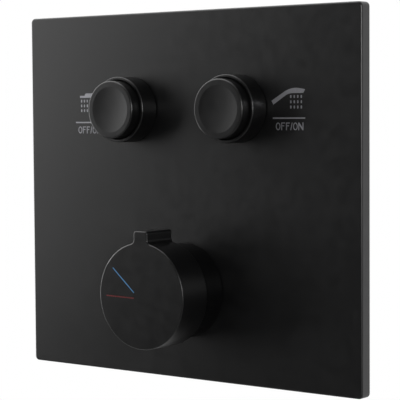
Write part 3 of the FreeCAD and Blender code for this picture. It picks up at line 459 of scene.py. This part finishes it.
def letter_f(width):
    """Letter F, its lower arm shorter by a stroke."""
    stroke = LETTER_STROKE
    waist = LETTER_H / 2
    reach = width - stroke
    top = LETTER_H - stroke
    return [
        (0, 0), (stroke, 0), (stroke, waist), (reach, waist), (reach, waist + stroke),
        (stroke, waist + stroke), (stroke, top), (width, top), (width, LETTER_H), (0, LETTER_H),
    ]


def letter_n(width):
    """Letter N."""
    stroke = LETTER_STROKE
    low = SLANT_RISE
    high = LETTER_H - SLANT_RISE
    return [
        (0, 0), (stroke, 0), (stroke, high), (width - stroke, 0), (width, 0), (width, LETTER_H),
        (width - stroke, LETTER_H), (width - stroke, low), (stroke, LETTER_H), (0, LETTER_H),
    ]


def slash(width):
    """Slanted stroke between the words."""
    return [(0, 0), (LETTER_STROKE, 0), (width, LETTER_H), (width - LETTER_STROKE, LETTER_H)]


def words(x, z):
    """OFF/ON in narrow capitals."""
    mesh = bmesh.new()
    shapes = {"F": letter_f, "N": letter_n, "/": slash}
    for letter, place_x, width in LETTERS:
        if letter == "O":
            figures = [oval(width, 0), oval(width, LETTER_STROKE)]
        else:
            figures = [shapes[letter](width)]
        prism(mesh, *[[(x + place_x + u, z + v) for u, v in figure] for figure in figures])
    return mesh


def finish_piece(name, mesh):
    """Turn a mesh into a piece that rides on the mixer."""
    bmesh.ops.recalc_face_normals(mesh, faces=mesh.faces)
    data = bpy.data.meshes.new(name)
    mesh.to_mesh(data)
    mesh.free()
    data.materials.append(INK)
    piece = bpy.data.objects.new(name, data)
    bpy.context.scene.collection.objects.link(piece)
    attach(piece, "mixer")


def sign(name, rule, drops, figures):
    """Rule with its words below and a shower above, whose drops fall in columns."""
    mesh = bmesh.new()
    rule_x, rule_z = rule
    drop_x, drop_z = drops
    prism(mesh, bar(rule_x + RULE_LENGTH / 2, rule_z, RULE_LENGTH, RULE_THICK))
    for column in range(DROP_COLUMNS):
        for row in range(DROP_ROWS):
            x = drop_x + column * DROP_STEP_X
            z = drop_z - row * DROP_STEP_Z
            prism(mesh, bar(x, z, DROP_W, DROP_H, DROP_ROUND))
    for figure in figures:
        prism(mesh, rounded(figure))
    finish_piece(name, mesh)
    finish_piece(f"{name}_words", words(rule_x + WORDS_INSET, rule_z - WORDS_DROP))


# Stage

def background_share(tree, behind):
    """How far a ray shows the white background: the camera's always, gloss and glass behind the object."""
    path = add(tree, "ShaderNodeLightPath")
    mirrored = combine(tree, "MAXIMUM", path.outputs["Is Glossy Ray"], path.outputs["Is Transmission Ray"])
    seen = combine(tree, "MULTIPLY", mirrored, behind)
    return combine(tree, "MAXIMUM", path.outputs["Is Camera Ray"], seen)


def pale_floor():
    """Pale grey that the camera sees nearly white, with the object's shadow."""
    grey = (FLOOR_GREY, FLOOR_GREY, FLOOR_GREY, 1)
    material, tree, shader = new_material("pale_floor", {"Base Color": grey, "Roughness": FLOOR_ROUGHNESS})
    glow = add(tree, "ShaderNodeEmission", {"Strength": BACKGROUND})
    spot = add(tree, "ShaderNodeNewGeometry").outputs["Position"]
    axes = add(tree, "ShaderNodeSeparateXYZ")
    tree.links.new(spot, axes.inputs["Vector"])
    behind = spread(tree, axes.outputs["Y"], 0.0, 1.0, FLOOR_BEHIND_Y, FLOOR_R)
    from_middle = radius(tree, spot, axes=(1, 1, 0))
    fade = spread(tree, from_middle, 1 - FLOOR_KEEP, 1.0, FLOOR_FADE_R, FLOOR_R)
    mix = add(tree, "ShaderNodeMixShader")
    tree.links.new(combine(tree, "MULTIPLY", background_share(tree, behind), fade), mix.inputs["Fac"])
    tree.links.new(shader.outputs["BSDF"], mix.inputs[1])
    tree.links.new(glow.outputs["Emission"], mix.inputs[2])
    tree.links.new(mix.outputs["Shader"], tree.nodes["Material Output"].inputs["Surface"])
    return material


def floor():
    """Round floor below the object."""
    angles = [math.tau * step / FLOOR_SIDES for step in range(FLOOR_SIDES)]
    rim = [(FLOOR_R * math.cos(angle), FLOOR_R * math.sin(angle), FLOOR_Z) for angle in angles]
    data = bpy.data.meshes.new("floor")
    data.from_pydata(rim, [], [tuple(range(FLOOR_SIDES))])
    data.materials.append(pale_floor())
    piece = bpy.data.objects.new("floor", data)
    bpy.context.scene.collection.objects.link(piece)


def world():
    """White background behind the object, and a dim room in front of it, which dark gloss needs."""
    made = bpy.data.worlds.new("studio")
    made.use_nodes = True
    tree = made.node_tree
    bpy.context.scene.world = made
    axes = add(tree, "ShaderNodeSeparateXYZ")
    tree.links.new(add(tree, "ShaderNodeTexCoord").outputs["Generated"], axes.inputs["Vector"])
    behind = spread(tree, axes.outputs["Y"], 0.0, 1.0, DIM_Y, WHITE_Y)
    level = spread(tree, background_share(tree, behind), AMBIENT, BACKGROUND, start=0.0, end=1.0)
    sky = tree.nodes["Background"]
    sky.inputs["Color"].default_value = (1, 1, 1, 1)
    tree.links.new(level, sky.inputs["Strength"])


def softbox(name, azimuth, elevation, distance, width, height, power):
    """Area lamp on a sphere round the origin, facing it."""
    a = math.radians(azimuth)
    e = math.radians(elevation)
    away = Vector((math.sin(a) * math.cos(e), -math.cos(a) * math.cos(e), math.sin(e)))
    lamp = bpy.data.lights.new(name, "AREA")
    lamp.shape = "RECTANGLE"
    lamp.size = width
    lamp.size_y = height
    lamp.energy = power
    holder = bpy.data.objects.new(name, lamp)
    holder.location = away * distance
    holder.rotation_mode = "QUATERNION"
    holder.rotation_quaternion = away.to_track_quat("Z", "Y")
    holder.visible_camera = False
    bpy.context.scene.collection.objects.link(holder)


def camera():
    """Camera at the photograph's place, turned by its three angles."""
    a = math.radians(CAMERA_AZIMUTH)
    e = math.radians(CAMERA_ELEVATION)
    r = math.radians(CAMERA_ROLL)
    forward = Vector((-math.sin(a) * math.cos(e), math.cos(a) * math.cos(e), -math.sin(e)))
    right = Vector((math.cos(a), math.sin(a), 0))
    up = right.cross(forward)
    rolled_right = right * math.cos(r) + up * math.sin(r)
    rolled_up = up * math.cos(r) - right * math.sin(r)
    lens = bpy.data.cameras.new("camera")
    lens.lens = CAMERA_LENS
    lens.sensor_width = CAMERA_SENSOR
    holder = bpy.data.objects.new("camera", lens)
    axes = Matrix((rolled_right, rolled_up, -forward)).transposed().to_4x4()
    holder.matrix_world = Matrix.Translation(CAMERA_PLACE) @ axes
    bpy.context.scene.collection.objects.link(holder)
    bpy.context.scene.camera = holder


dress_nodes()
springs()
sign("hand_shower_sign", HAND_RULE, HAND_DROPS, [HAND_SHOWER])
sign("overhead_shower_sign", OVERHEAD_RULE, OVERHEAD_DROPS, [OVERHEAD_HEAD, OVERHEAD_ARM])
floor()
world()
for lamp_name, setting in LAMPS.items():
    softbox(lamp_name, *setting)
camera()
bpy.context.scene.view_settings.view_transform = "Standard"
